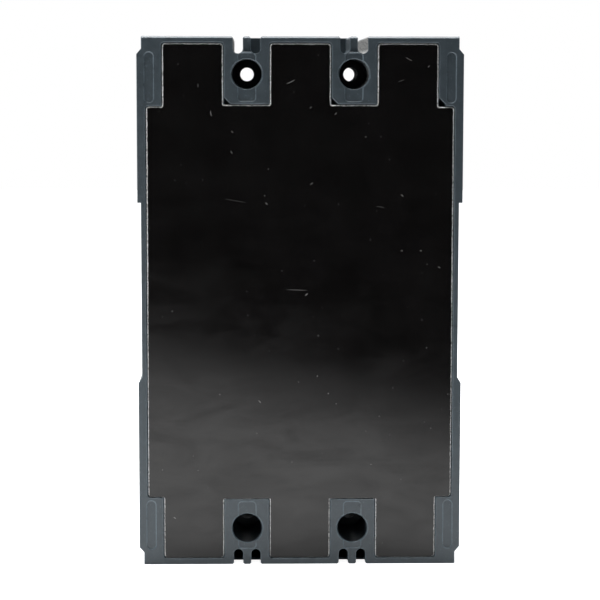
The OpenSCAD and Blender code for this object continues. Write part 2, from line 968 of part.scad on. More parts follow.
// A ring that turns a thick bar down where the lower links swing past it
module crossbar_neck(x) {
    difference() {
        rod_x(x, bar_at, max(bar_r, neck_r) + 0.1);
        rod_x([x[0] - 1, x[1] + 1], bar_at, neck_r);
    }
}

module crossbar_drive_pins() {
    color("#aeb0ae")
        pair()
            rod_x([lower_x[0] - 0.1, ear_x[1]], drive_at, pin_r);
}

module arm_pins() {
    color("#aeb0ae")
        for (pole = poles)
            rod_x([pole - 4.8, pole + 4.8], bar_at, 1);
}

module contact_arm(pole) {
    x = about(pole, arm_w / 2);
    color("#b9703f")
        opened()
            difference() {
                slab(x, about(bar_at[0], arm_t / 2), offset_from(bar_at[1], -bar_r - 2, arm_reach + 2.5));
                rod_x([pole - 10, pole + 10], bar_at, 1 + press);
            }
}

module moving_contact_tips() {
    face = bar_at[0] - arm_t / 2;
    color("#c8c8c4")
        opened()
            for (pole = poles)
                slab([pole - 2.3, pole + 2.3], [face - 1.2, face], about(contact_z, 2.3));
}

module contact_springs() {
    color("#b9bbb8")
        opened()
            for (pole = poles)
                translate([pole, -bar_at[0] - arm_t / 2, bar_at[1] + 9])
                    rotate([90, 0, 0])
                        coil(1.6, 0.3, 3.4, 3);
}

module upper_links() {
    color("#9a9c9b")
        pair()
            side_sheet(upper_x)
                difference() {
                    link_shape(link_at, knee_at, 2.3);
                    for (at = [link_at, knee_at])
                        translate(at)
                            circle(pin_r + running);
                }
}

module link_pivot_pin() {
    color("#aeb0ae")
        rod_x([-upper_x[1], upper_x[1]], link_at, pin_r);
}

module toggle_pin() {
    color("#aeb0ae")
        rod_x([-knee_x, knee_x], knee_at, pin_r);
}

// The far eye is wide: it is the open pivot of the linkage
module lower_links() {
    color("#9a9c9b")
        pair()
            side_sheet(lower_x)
                difference() {
                    union() {
                        link_shape(knee_at, drive_at, 2.1);
                        translate(drive_at)
                            circle(open_r + 0.9);
                    }
                    translate(knee_at)
                        circle(pin_r + running);
                    translate(drive_at)
                        circle(open_r);
                }
}

// The latched lever that carries the upper links
module cradle() {
    nose = [latch_at[0] + 2.9, latch_at[1] + 4];
    x = [-1, 1];
    color("#8f918f")
        difference() {
            union() {
                side_sheet(x)
                    polygon([
                        cradle_at + [-2.7, 0], cradle_at + [2.7, 0], link_at + [2.7, 0],
                        nose + [2.1, 0], nose + [-2.1, 0], link_at + [-2.7, 0]
                    ]);
                rod_x(x, cradle_at, 3);
                rod_x(x, nose, 2.4);
            }
            rod_x([-2, 2], cradle_at, 2 + press);
            rod_x([-2, 2], link_at, pin_r + press);
        }
}

module cradle_pin() {
    color("#aeb0ae")
        rod_x([-frame_x[1], frame_x[1]], cradle_at, 2);
}

// The plate whose lip holds the cradle's nose
module latch() {
    lip = latch_at[0] + 5.6;
    color("#8d9093")
        difference() {
            union() {
                slab([-6, 6], [latch_at[0] - 7, lip + 1.5], about(latch_at[1], 0.7));
                slab([-3, 3], [lip, lip + 1.5], offset_from(latch_at[1], -0.7, 4));
                rod_x([-6, 6], latch_at, 2.2);
            }
            rod_x([-7, 7], latch_at, 1.5 + running);
        }
}

module latch_pin() {
    color("#aeb0ae")
        rod_x([-frame_x[1], frame_x[1]], latch_at, 1.5);
}

// Flexible braid from the contact arm's tail down to the load strip
module braid(pole) {
    seat = floor_t + load_t;
    tail = bar_at - (bar_r + 2) * [sin(contact_swing), cos(contact_swing)];
    low = yoke_z + 9;
    color("#a8643a")
        side_sheet([pole - 3.5, pole + 3.5])
            polygon([
                [seat, low - 6], [seat, low - 1], tail + [-5.5, -4], tail + [-1.5, -0.6],
                tail + [0.8, -1.8], tail + [-3.5, -5.6], [seat + 2, low - 1], [seat + 2, low - 6]
            ]);
}

// ---- Parts ------------------------------------------------------------------------------------

base();
back_plate();
cover();
front_panel();
label_plate();
cover_screws();
line_conductor(poles[0]);  // line_conductor_1
line_conductor(poles[1]);  // line_conductor_2
line_conductor(poles[2]);  // line_conductor_3
fixed_contact_tips();
load_terminal(poles[0]);  // load_terminal_1
load_terminal(poles[1]);  // load_terminal_2
load_terminal(poles[2]);  // load_terminal_3
terminal_screws();
terminal_spring_washers();
terminal_flat_washers();
terminal_nuts();
arc_plates(poles[0]);  // arc_plates_1
arc_plates(poles[1]);  // arc_plates_2
arc_plates(poles[2]);  // arc_plates_3
arc_chute_walls();
vent_baffles();
bimetal(poles[0]);  // bimetal_1
bimetal(poles[1]);  // bimetal_2
bimetal(poles[2]);  // bimetal_3
magnet_yoke(poles[0]);  // magnet_yoke_1
magnet_yoke(poles[1]);  // magnet_yoke_2
magnet_yoke(poles[2]);  // magnet_yoke_3
armature(poles[0]);  // armature_1
armature(poles[1]);  // armature_2
armature(poles[2]);  // armature_3
calibration_screws();
mechanism_frame_left();
mechanism_frame_right();
braid(poles[0]);  // braid_1
braid(poles[1]);  // braid_2
braid(poles[2]);  // braid_3
handle();
handle_yoke();
main_springs();
crossbar();
crossbar_drive_pins();
arm_pins();
contact_arm(poles[0]);  // contact_arm_1
contact_arm(poles[1]);  // contact_arm_2
contact_arm(poles[2]);  // contact_arm_3
moving_contact_tips();
contact_springs();
upper_links();
link_pivot_pin();
toggle_pin();
lower_links();
cradle();
cradle_pin();
latch();
latch_pin();
trip_bar();
trip_button();
trip_button_spring();
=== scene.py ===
import math

import bmesh
import bpy
import numpy as np
from mathutils import Matrix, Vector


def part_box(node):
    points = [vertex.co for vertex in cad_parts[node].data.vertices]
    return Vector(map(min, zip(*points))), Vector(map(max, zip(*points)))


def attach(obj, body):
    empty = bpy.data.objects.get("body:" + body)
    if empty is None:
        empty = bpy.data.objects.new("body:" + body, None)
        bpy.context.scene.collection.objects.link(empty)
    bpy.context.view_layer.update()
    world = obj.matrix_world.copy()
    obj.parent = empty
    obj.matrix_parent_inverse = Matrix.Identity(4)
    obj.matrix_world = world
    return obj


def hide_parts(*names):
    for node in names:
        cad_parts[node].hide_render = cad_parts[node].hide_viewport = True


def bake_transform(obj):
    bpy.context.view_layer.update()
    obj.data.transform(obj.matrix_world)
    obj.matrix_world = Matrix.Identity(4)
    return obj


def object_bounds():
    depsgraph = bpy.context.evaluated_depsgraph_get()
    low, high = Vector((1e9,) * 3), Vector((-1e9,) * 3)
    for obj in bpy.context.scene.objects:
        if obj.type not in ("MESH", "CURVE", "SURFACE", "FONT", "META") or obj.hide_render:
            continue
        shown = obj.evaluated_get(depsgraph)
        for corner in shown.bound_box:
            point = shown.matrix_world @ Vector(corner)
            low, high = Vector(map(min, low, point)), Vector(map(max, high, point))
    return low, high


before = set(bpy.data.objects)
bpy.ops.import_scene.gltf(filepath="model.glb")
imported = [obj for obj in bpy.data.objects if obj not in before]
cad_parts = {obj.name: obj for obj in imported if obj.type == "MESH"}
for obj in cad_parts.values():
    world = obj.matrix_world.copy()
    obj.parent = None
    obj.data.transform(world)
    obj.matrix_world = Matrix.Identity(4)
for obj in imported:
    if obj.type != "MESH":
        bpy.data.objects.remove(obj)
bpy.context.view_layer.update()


# ---- Viewpoint ----------------------------------------------------------------------------------
# The breaker stands on its load end with its back to the viewer, whose eye is a little under 0.6 m
# away, level with the upper mounting holes and a shade to the left of centre.
def aim(camera, place, yaw, pitch, roll):
    """Stands a camera at place looking along -Y with +Z up, then turns it about X, Z and its own axis."""
    turn = Matrix.Rotation(yaw, 3, "Z") @ Matrix.Rotation(pitch, 3, "X")
    right, up, ahead = (turn @ Matrix(((-1, 0, 0), (0, 0, 1), (0, -1, 0)))[k] for k in range(3))
    leaned = (right * math.cos(roll) + up * math.sin(roll), up * math.cos(roll) - right * math.sin(roll))
    camera.matrix_world = Matrix.Translation(place) @ Matrix((*leaned, -ahead)).transposed().to_4x4()


camera = bpy.data.objects.new("camera", bpy.data.cameras.new("camera"))
bpy.context.scene.collection.objects.link(camera)
camera.data.lens = 121.38
camera.data.sensor_width = 36
camera.data.clip_start = 0.01
aim(camera, (0.0137, 0.5682, 0.0626), math.radians(-1.379), math.radians(6.18), math.radians(0.094))
bpy.context.scene.camera = camera


# ---- Case mouldings -----------------------------------------------------------------------------
# Base and cover are compression moulded from slate grey glass-filled polyester. Fibre just under the
# skin mottles the colour, the mould leaves a fine grain, and the corners are painted paler, partly as
# handling wear and partly as painted highlight where the edges catch the light.
def shader_graph(owner):
    """Clears the nodes of a material or a world and returns a function that adds one: sockets are given by
    name, or by place as i0, i1, and take either a plain value or another node's output."""
    owner.use_nodes = True
    tree = owner.node_tree
    tree.nodes.clear()

    def add(kind, settings=None, **sockets):
        made = tree.nodes.new("ShaderNode" + kind)
        for key, value in (settings or {}).items():
            setattr(made, key, value)
        for key, value in sockets.items():
            place = int(key[1:]) if key[0] == "i" and key[1:].isdigit() else key.replace("_", " ")
            if isinstance(value, bpy.types.NodeSocket):
                tree.links.new(value, made.inputs[place])
            else:
                made.inputs[place].default_value = value
        return made

    return add


def toned(colour, factor):
    """A colour made lighter or darker by a factor, with full alpha."""
    return tuple(min(1.0, c * factor) for c in colour) + (1.0,)


def edge_mask(add, radius, sharpness):
    """Rounded normal for lighting, and a value that is 0 on flats and rises to 1 on sharp corners."""
    soft = add("Bevel", {"samples": 6}, Radius=radius).outputs[0]
    plain = add("NewGeometry").outputs["Normal"]
    same = add("VectorMath", {"operation": "DOT_PRODUCT"}, i0=soft, i1=plain).outputs["Value"]
    mask = add("MapRange", None, Value=same, From_Min=0.992, From_Max=1 - sharpness)
    return soft, mask.outputs[0]


def moulding(name, colour, roughness, mottle=0.16, fleck=0.5, pale=3.0, corners="found"):
    """Moulded plastic: two sizes of mottling, pale flecks of filler and dust, and a fine grain. Its paler
    skin, part rubbed wear and part painted edge highlight, goes on the sharp edges that the shader has found,
    on the whole surface, or nowhere."""
    material = bpy.data.materials.new(name)
    add = shader_graph(material)
    place = add("TexCoord").outputs["Object"]
    cloud = add("TexNoise", None, Vector=place, Scale=420.0, Detail=4.0, Roughness=0.65).outputs[0]
    even = add("MapRange", None, Value=cloud, From_Min=0.25, From_Max=0.75).outputs[0]
    fine = add("TexNoise", None, Vector=place, Scale=1500.0, Detail=2.0, Roughness=0.7).outputs[0]
    light, dark = toned(colour, 1 + mottle), toned(colour, 1 - mottle)
    body = add("Mix", {"data_type": "RGBA"}, i0=even, i6=dark, i7=light)
    speck = add("MapRange", None, Value=fine, From_Min=0.62, From_Max=0.72, To_Max=fleck).outputs[0]
    shade = add("Mix", {"data_type": "RGBA"}, i0=speck, i6=body.outputs[2], i7=toned(colour, 2.6)).outputs[2]
    grain = 0.00002
    height = add("Bump", None, Strength=0.5, Distance=grain, Height=fine).outputs[0]
    # The paler colour on the edges is partly rubbed wear and partly a painted highlight where edges catch the
    # light
    if corners == "found":
        soft, mask = edge_mask(add, 0.00042, 0.07)
        rubbed = add("Math", {"operation": "MULTIPLY"}, i0=mask, i1=even).outputs[0]
        wear_and_highlight = add("MapRange", None, Value=rubbed, From_Min=0.03, From_Max=0.4).outputs[0]
        height = add("Bump", None, Strength=0.5, Distance=grain, Height=fine, Normal=soft).outputs[0]
    elif corners == "all":
        wear_and_highlight = add("MapRange", None, Value=even, From_Min=0.2, From_Max=0.7, To_Min=0.15).outputs[0]
    if corners != "none":
        shade = add("Mix", {"data_type": "RGBA"}, i0=wear_and_highlight, i6=shade, i7=toned(colour, pale)).outputs[2]
    low, high = roughness - 0.06, roughness + 0.06
    satin = add("MapRange", None, Value=cloud, From_Min=0.3, From_Max=0.7, To_Min=low, To_Max=high)
    hollow = add("AmbientOcclusion", {"samples": 6}, Distance=0.006).outputs["AO"]
    dull = add("MapRange", None, Value=hollow, From_Min=0.45, From_Max=0.1, To_Max=0.6).outputs[0]
    gloss = add("Math", {"operation": "ADD", "use_clamp": True}, i0=satin.outputs[0], i1=dull)
    skin = add("BsdfPrincipled", None, Base_Color=shade, Roughness=gloss.outputs[0], Normal=height, IOR=1.52)
    add("OutputMaterial", None, Surface=skin.outputs[0])
    return material


def dress(material, *names):
    """Gives CAD nodes a finish in place of the plain one they came with."""
    for name in names:
        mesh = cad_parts[name].data
        mesh.materials.clear()
        mesh.materials.append(material)
        mesh.polygons.foreach_set("material_index", np.zeros(len(mesh.polygons), np.int32))


dress(moulding("slate polyester", (0.066, 0.086, 0.101), 0.33), "base", "cover")

# The line end's two outer slots run right through, as if a thin skin had been knocked out of them. Their
# walls are rough, and their pale patches are painted light standing for the light that falls on them.
broken = bpy.data.materials.new("broken slot wall")
add = shader_graph(broken)
place = add("TexCoord").outputs["Object"]
along = add("Mapping", None, Vector=place, Scale=(1, 0.35, 1)).outputs[0]
ends = add("TexNoise", None, Vector=along, Scale=1900.0, Detail=2.0, Roughness=0.75).outputs[0]
lit_patches = add("MapRange", None, Value=ends, From_Min=0.43, From_Max=0.57).outputs[0]
# The pale colour is painted light on the slot walls, set in noisy patches over the dark resin
resin, painted_light_pale = (0.1, 0.105, 0.11, 1), (0.46, 0.46, 0.45, 1)
torn = add("Mix", {"data_type": "RGBA"}, i0=lit_patches, i6=resin, i7=painted_light_pale).outputs[2]
crumbs = add("Bump", None, Strength=0.9, Distance=0.0001, Height=ends).outputs[0]
rough = add("BsdfPrincipled", None, Base_Color=torn, Normal=crumbs, Roughness=0.8)
add("OutputMaterial", None, Surface=rough.outputs[0])
slot_reach = 0.0049
slot_edge = 0.0041
rib_x = 0.015
slot_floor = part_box("base")[1].z - slot_reach
for name in ("base", "cover"):
    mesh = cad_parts[name].data
    mesh.materials.append(broken)
    count = len(mesh.polygons)
    centre, facing = np.empty(3 * count), np.empty(3 * count)
    mesh.polygons.foreach_get("center", centre)
    mesh.polygons.foreach_get("normal", facing)
    out = np.abs(centre[0::3]) - rib_x
    walls = (centre[2::3] > slot_floor) & (out > 0) & (out < slot_edge) & (np.abs(facing[0::3]) > 0.3)
    mesh.polygons.foreach_set("material_index", walls.astype(np.int32))


# ---- Back plate ---------------------------------------------------------------------------------
# A sheared sheet of black epoxy laminate, laid in the recess in the back of the base. Its face is
# polished, with dust and hairline scuffs, and shearing leaves a rough pale fibre edge all round.
def rounded_outline(corners, radii, steps):
    """A right-angled outline with each corner turned by a quarter circle: a point is the corner, less
    r(1 - sin t) along the way in, plus r(1 - cos t) along the way out, for t from 0 to 90 degrees."""
    corners = np.array(corners, float)
    into = corners - np.roll(corners, 1, 0)
    into /= np.linalg.norm(into, axis=1, keepdims=True)
    out = np.roll(into, -1, 0)
    t = np.linspace(0, np.pi / 2, steps)[None, :, None]
    r = np.array(radii, float)[:, None, None]
    curve = corners[:, None] - r * (1 - np.sin(t)) * into[:, None] + r * (1 - np.cos(t)) * out[:, None]
    return curve.reshape(-1, 2)


def evenly(path, step):
    """Points a fixed step apart along a closed path, by its running length."""
    closed = np.vstack([path, path[:1]])
    run = np.concatenate([[0], np.cumsum(np.linalg.norm(np.diff(closed, axis=0), axis=1))])
    at = np.linspace(0, run[-1], int(run[-1] / step), endpoint=False)
    return np.stack([np.interp(at, run, closed[:, k]) for k in range(2)], 1), at / run[-1]


def ring_faces(rings, around):
    """Quads between one ring of a stack and the next, each ring closed on itself."""
    a = np.arange(rings - 1)[:, None] * around + np.arange(around)[None, :]
    b = np.arange(rings - 1)[:, None] * around + (np.arange(around)[None, :] + 1) % around
    return np.stack([a, b, b + around, a + around], -1).reshape(-1, 4)


def piece(name, points, faces, materials, body, replaced, index=None, smooth=True):
    """A mesh object in place in the row frame that stands for CAD nodes, and rides on a body if given one."""
    mesh = bpy.data.meshes.new(name)
    mesh.from_pydata(points.tolist(), [], faces)
    for material in materials:
        mesh.materials.append(material)
    if index is not None:
        mesh.polygons.foreach_set("material_index", np.asarray(index, np.int32))
    mesh.polygons.foreach_set("use_smooth", np.full(len(mesh.polygons), smooth))
    mesh.update()
    made = bpy.data.objects.new(name, mesh)
    bpy.context.scene.collection.objects.link(made)
    if body:
        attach(made, body)
    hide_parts(*replaced)
    return made


low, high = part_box("back_plate")
half_x, half_z, face_y, rear_y = high.x, high.z, high.y, low.y
mid_tooth, side_tooth, shoulder = 0.00855, 0.0216, 0.03865
pocket_z, notch_z = 0.05595, 0.05545
quarter = [
    (mid_tooth, half_z), (mid_tooth, pocket_z), (side_tooth, pocket_z), (side_tooth, half_z),
    (shoulder, half_z), (shoulder, notch_z), (half_x, notch_z)
]
outer_r, inner_r = 0.001, 0.0003
quarter_r = [outer_r, inner_r, inner_r, outer_r, outer_r, inner_r, outer_r]
right_half = quarter + [(x, -z) for x, z in quarter[::-1]]
right_r = quarter_r + quarter_r[::-1]
whole = right_half + [(-x, z) for x, z in right_half[::-1]]
spacing = 0.00032
outline, share = evenly(rounded_outline(whole, right_r + right_r[::-1], 7), spacing)
ahead = np.roll(outline, -1, 0) - np.roll(outline, 1, 0)
ahead /= np.linalg.norm(ahead, axis=1, keepdims=True)
inward = np.stack([ahead[:, 1], -ahead[:, 0]], 1)
waviness = ((211, 0.1), (347, 0.6), (523, 0.3), (89, 0.8))
ragged = sum(np.sin(2 * np.pi * (share * n + p)) for n, p in waviness) / len(waviness)
sheared_down = np.clip(inward[:, 1], 0, 1)
# The torn lip's width and drop wander along the edge. It is cleaner where the edge faces down, and narrower
# round the lower half.
lip = (0.00034 + 0.00009 * ragged) * (1 - 0.85 * sheared_down) * np.where(outline[:, 1] < 0, 0.75, 1)
drop = (0.00024 + 0.00008 * np.roll(ragged, 37)) * (1 - 0.6 * sheared_down)


def level(inset, y):
    """The outline moved inward by an inset and set at a depth."""
    flat = outline + inward * np.broadcast_to(inset, len(outline))[:, None]
    return np.stack([flat[:, 0], np.broadcast_to(y, len(flat)), flat[:, 1]], 1)


rings = [
    level(0, rear_y), level(0, face_y - drop), level(lip * 0.45, face_y - drop * 0.35), level(lip, face_y)
]
around = len(outline)
sides = ring_faces(len(rings), around)
caps = [list(range(around))[::-1], list(range(3 * around, 4 * around))]
kinds = np.concatenate([np.ones(3 * around), [0, 0]])

laminate = bpy.data.materials.new("black laminate")
add = shader_graph(laminate)
place = add("TexCoord").outputs["Object"]
sway = add("TexNoise", None, Vector=place, Scale=22.0, Detail=2.0).outputs[0]
haze = add("TexNoise", None, Vector=place, Scale=75.0, Detail=5.0, Roughness=0.7).outputs[0]
wiped = add("Mapping", None, Vector=place, Rotation=(0, 0.35, 0), Scale=(50, 50, 130)).outputs[0]
smear = add("TexNoise", None, Vector=wiped, Scale=1.0, Detail=4.0, Roughness=0.6, Distortion=0.8).outputs[0]
dust = add("TexVoronoi", None, Vector=place, Scale=420.0, Randomness=1.0).outputs["Distance"]
mote = add("MapRange", None, Value=dust, From_Min=0.085, From_Max=0.03, To_Max=1.0).outputs[0]
where = add("MapRange", None, Value=haze, From_Min=0.52, From_Max=0.66).outputs[0]
marked = add("Math", {"operation": "MULTIPLY"}, i0=mote, i1=where).outputs[0]


def scratch(marked, x, z, tilt, length, bend, strength):
    """Adds one hairline to the marks: the points whose distance across it, less bend times the square of
    the distance along it, is within its thickness, fading towards its two ends."""
    frame_at = {"Location": (x, 0, z), "Rotation": (0, tilt, 0)}
    turned = add("Mapping", {"vector_type": "TEXTURE"}, Vector=place, **frame_at).outputs[0]
    part = add("SeparateXYZ", None, Vector=turned)
    square = add("Math", {"operation": "POWER"}, i0=part.outputs[0], i1=2.0).outputs[0]
    off = add("Math", {"operation": "MULTIPLY_ADD"}, i0=square, i1=-bend, i2=part.outputs[2]).outputs[0]
    away = add("Math", {"operation": "ABSOLUTE"}, i0=off).outputs[0]
    faint, full = 0.00011, 0.00003
    line = add("MapRange", None, Value=away, From_Min=faint, From_Max=full, To_Max=strength).outputs[0]
    tip, solid = (length / 2) ** 2, (length / 4) ** 2
    along = add("MapRange", None, Value=square, From_Min=tip, From_Max=solid).outputs[0]
    both = add("Math", {"operation": "MULTIPLY"}, i0=line, i1=along).outputs[0]
    return add("Math", {"operation": "MAXIMUM"}, i0=marked, i1=both).outputs[0]


# Each hairline's x and z, the turn of its length, its length, its bend and its strength
for hairline in (
    (0.001, 0.0039, -0.03, 0.0062, 0, 0.3), (-0.0018, 0.0026, 0.7, 0.001, 0, 0.9),
    (0.0027, 0.0623, 0.44, 0.0027, 60, 0.75), (0.0251, 0.0535, 1.75, 0.0017, -300, 0.75),
    (-0.0303, 0.0687, -0.49, 0.0022, 40, 0.5), (-0.0282, 0.0627, 0.35, 0.002, 0, 0.25),
    (-0.0226, 0.0274, -0.17, 0.0025, -120, 0.25), (0.0182, 0.0291, -0.17, 0.0062, 0, 0.15),
    (-0.0287, 0.0306, -0.7, 0.001, 0, 0.7), (0.0095, 0.0283, -0.7, 0.001, 0, 0.6),
    (-0.0032, 0.0339, 0.61, 0.001, 0, 0.5), (-0.0099, 0.0535, 0.87, 0.0008, 0, 0.6),
    (0.0286, 0.0613, 1.57, 0.0011, 0, 0.4), (0.0114, -0.028, -0.79, 0.0011, 0, 0.95),
    (0.0357, -0.0615, -0.61, 0.0008, 0, 1.0), (-0.0393, 0.0103, -0.52, 0.0008, 0, 0.6),
    (-0.0287, 0.015, 0.0, 0.0006, 0, 0.9), (-0.0341, 0.015, 0.0, 0.0006, 0, 0.9),
    (-0.0029, 0.0552, 0.79, 0.0008, 0, 0.5), (-0.0359, 0.0667, 0.79, 0.0008, 0, 0.5),
    (0.0191, 0.0484, -0.79, 0.0008, 0, 0.5), (0.0193, 0.0427, -1.05, 0.0011, 0, 0.5)
):
    marked = scratch(marked, *hairline)
film = add("MapRange", None, Value=haze, From_Min=0.4, From_Max=0.8, To_Max=0.012).outputs[0]
dull = add("Math", {"operation": "MAXIMUM"}, i0=marked, i1=film).outputs[0]
resin, dusty = (0.0036, 0.0032, 0.0032, 1), (0.45, 0.44, 0.44, 1)
black = add("Mix", {"data_type": "RGBA"}, i0=dull, i6=resin, i7=dusty)
rub = add("MapRange", None, Value=smear, From_Min=0.35, From_Max=0.65, To_Min=0.07, To_Max=0.16).outputs[0]
rough = add("Math", {"operation": "MULTIPLY_ADD"}, i0=marked, i1=0.5, i2=rub).outputs[0]
waves = add("Bump", None, Strength=1.0, Distance=0.00004, Height=sway).outputs[0]
gloss = add("MapRange", None, Value=smear, From_Min=0.3, From_Max=0.7, To_Min=0.43, To_Max=0.34).outputs[0]
sheet = add("BsdfPrincipled", None, Base_Color=black.outputs[2], Roughness=rough, Normal=waves, IOR=1.6,
            Specular_IOR_Level=gloss)
add("OutputMaterial", None, Surface=sheet.outputs[0])

sheared = bpy.data.materials.new("sheared fibre edge")
add = shader_graph(sheared)
place = add("TexCoord").outputs["Object"]
fray = add("TexNoise", None, Vector=place, Scale=2600.0, Detail=3.0, Roughness=0.8).outputs[0]
torn = add("MapRange", None, Value=fray, From_Min=0.4, From_Max=0.5).outputs[0]
fibre = add("Mix", {"data_type": "RGBA"}, i0=torn, i6=(0.16, 0.16, 0.16, 1), i7=(1.0, 1.0, 1.0, 1))
lumps = add("Bump", None, Strength=0.8, Distance=0.00006, Height=fray).outputs[0]
raw = add("BsdfPrincipled", None, Base_Color=fibre.outputs[2], Normal=lumps, Roughness=0.7)
add("OutputMaterial", None, Surface=raw.outputs[0])

piece("back_sheet", np.vstack(rings), sides.tolist() + caps, [laminate, sheared], "case",
      ["back_plate"], index=kinds, smooth=False)


# ---- Front of the case --------------------------------------------------------------------------
# The front panel is a lighter moulding that drops over the cover's deck. The handle is moulded in
# black nylon, the trip button in red, and the label is a bare sheet of brushed alloy foil.
def eased(node, body, slot, width, name, *finish, **options):
    """A moulded piece with its corners rounded over: a copy of a CAD node's skin, its loose triangles
    merged and its flat faces joined, with a bevel on each edge sharper than 35 degrees. The rounds take
    the paler finish, part rubbed wear and part painted highlight, and the flats keep their own direction."""
    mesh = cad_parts[node].data.copy()
    mesh.name = "moulded_" + node
    work = bmesh.new()
    work.from_mesh(mesh)
    bmesh.ops.remove_doubles(work, verts=work.verts, dist=0.00002)
    bmesh.ops.dissolve_limit(work, angle_limit=math.radians(0.5), verts=work.verts, edges=work.edges)
    work.to_mesh(mesh)
    work.free()
    mesh.materials.clear()
    mesh.materials.append(moulding(name, *finish, corners="none", **options))
    mesh.materials.append(moulding(name + " corners", *finish, corners="all", **options))
    mesh.polygons.foreach_set("material_index", np.zeros(len(mesh.polygons), np.int32))
    mesh.polygons.foreach_set("use_smooth", np.ones(len(mesh.polygons), bool))
    made = bpy.data.objects.new("moulded_" + node, mesh)
    bpy.context.scene.collection.objects.link(made)
    rounding = made.modifiers.new("rounding", "BEVEL")
    rounding.width = width
    rounding.segments = 2
    rounding.limit_method = "ANGLE"
    rounding.angle_limit = math.radians(35)
    rounding.use_clamp_overlap = False
    rounding.miter_outer = "MITER_ARC"
    # The rounds get the paler material: part rubbed wear, part painted highlight on the edges
    rounding.material = 1
    flats = made.modifiers.new("flats", "WEIGHTED_NORMAL")
    flats.mode = "FACE_AREA"
    flats.weight = 90
    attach(made, body)
    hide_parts(node)


dress(moulding("grey front", (0.15, 0.165, 0.18), 0.4, mottle=0.08, fleck=0.25, pale=1.6), "front_panel")
nylon = ("black nylon", (0.02, 0.021, 0.023), 0.34)
eased("handle", "handle", "handle_moulding", 0.0006, *nylon, fleck=0.2, pale=2.0)
dress(moulding("red button", (0.5, 0.03, 0.02), 0.3, mottle=0.05, fleck=0.1, pale=1.3), "trip_button")


def metal(name, colour, roughness, streak=(60, 60, 900), tint=0.12):
    """Worked metal: streaks along its grain in colour and gloss, small pits, and bright rubbed corners."""
    material = bpy.data.materials.new(name)
    add = shader_graph(material)
    place = add("TexCoord").outputs["Object"]
    drawn = add("Mapping", None, Vector=place, Scale=streak).outputs[0]
    lines = add("TexNoise", None, Vector=drawn, Scale=3.0, Detail=4.0, Roughness=0.65).outputs[0]
    stain = add("TexNoise", None, Vector=place, Scale=240.0, Detail=3.0).outputs[0]
    light, dark = toned(colour, 1 + tint), toned(colour, 1 - tint)
    body = add("Mix", {"data_type": "RGBA"}, i0=stain, i6=dark, i7=light)
    soft, mask = edge_mask(add, 0.00012, 0.12)
    shade = add("Mix", {"data_type": "RGBA"}, i0=mask, i6=body.outputs[2], i7=toned(colour, 1.25))
    low, high = roughness - 0.08, roughness + 0.1
    gloss = add("MapRange", None, Value=lines, From_Min=0.3, From_Max=0.7, To_Min=low, To_Max=high)
    pit = 0.000006
    height = add("Bump", None, Strength=0.5, Distance=pit, Height=lines, Normal=soft).outputs[0]
    finish = {"Base_Color": shade.outputs[2], "Roughness": gloss.outputs[0], "Normal": height}
    skin = add("BsdfPrincipled", None, Metallic=1.0, **finish)
    add("OutputMaterial", None, Surface=skin.outputs[0])
    return material


dress(metal("brushed label foil", (0.5, 0.51, 0.5), 0.4, streak=(20, 900, 900), tint=0.03), "label_plate")


# ---- Screws and terminals -----------------------------------------------------------------------
# Zinc plated steel screws, washers and nuts clamp the lugs on plain copper pads. The copper has
# darkened a little since it was pickled. The contact tips are silver alloy, brazed on.
zinc = metal("zinc plate", (0.6, 0.6, 0.58), 0.34, streak=(240, 240, 240))
dress(zinc, "cover_screws", "terminal_screws", "terminal_nuts")
dress(zinc, "terminal_flat_washers", "terminal_spring_washers")
copper = metal("plain copper", (0.72, 0.34, 0.18), 0.34, streak=(900, 900, 60), tint=0.25)
for kind in ("line_conductor", "load_terminal", "contact_arm"):
    dress(copper, *[f"{kind}_{pole}" for pole in (1, 2, 3)])
silver = metal("contact silver", (0.78, 0.77, 0.74), 0.42, streak=(300, 300, 300))
dress(silver, "fixed_contact_tips", "moving_contact_tips")


# ---- Arc chutes ---------------------------------------------------------------------------------
# In front of each pole's fixed contact is a stack of stamped steel plates, notched for the arm's swing,
# between two walls of tan vulcanised fibre. A slotted fibre baffle fills the vent in the line end's wall.
dress(metal("stamped arc steel", (0.42, 0.42, 0.41), 0.45), *[f"arc_plates_{pole}" for pole in (1, 2, 3)])
card = moulding("vulcanised fibre", (0.5, 0.37, 0.22), 0.7, mottle=0.18, fleck=0.6)
dress(card, "arc_chute_walls", "vent_baffles")


# ---- Trip unit ----------------------------------------------------------------------------------
# Each pole has a rolled bimetal strip with a turned brass setting screw in it, standing in a bent steel
# channel. A steel armature hangs in the channel's ears on a pin, free to swing.
dress(metal("rolled bimetal", (0.5, 0.45, 0.38), 0.38), *[f"bimetal_{pole}" for pole in (1, 2, 3)])
dress(metal("turned brass", (0.7, 0.5, 0.22), 0.3), "calibration_screws")
magnet = metal("magnet steel", (0.4, 0.41, 0.42), 0.42)
for kind in ("magnet_yoke", "armature"):
    dress(magnet, *[f"{kind}_{pole}" for pole in (1, 2, 3)])


# ---- Mechanism ----------------------------------------------------------------------------------
# Side plates, yoke, links, cradle and latch are stamped from plated steel, and those that move turn on
# ground steel pins. The crossbar and trip bar are dark thermoset, and braids of copper wire feed the arms.
stamped = metal("plated frame steel", (0.52, 0.52, 0.5), 0.38)
dress(stamped, "mechanism_frame_left", "mechanism_frame_right", "handle_yoke", "upper_links", "lower_links",
      "cradle", "latch")
ground = metal("ground pin steel", (0.6, 0.6, 0.59), 0.25, streak=(900, 60, 60))
dress(ground, "crossbar_drive_pins", "arm_pins", "link_pivot_pin", "toggle_pin", "cradle_pin", "latch_pin")
thermoset = moulding("dark thermoset", (0.03, 0.032, 0.036), 0.45, fleck=0.3)
dress(thermoset, "crossbar", "trip_bar")
wire = metal("spring wire", (0.6, 0.6, 0.58), 0.3)
dress(wire, "main_springs", "contact_springs")
dress(metal("braided copper", (0.62, 0.28, 0.15), 0.45), *[f"braid_{pole}" for pole in (1, 2, 3)])
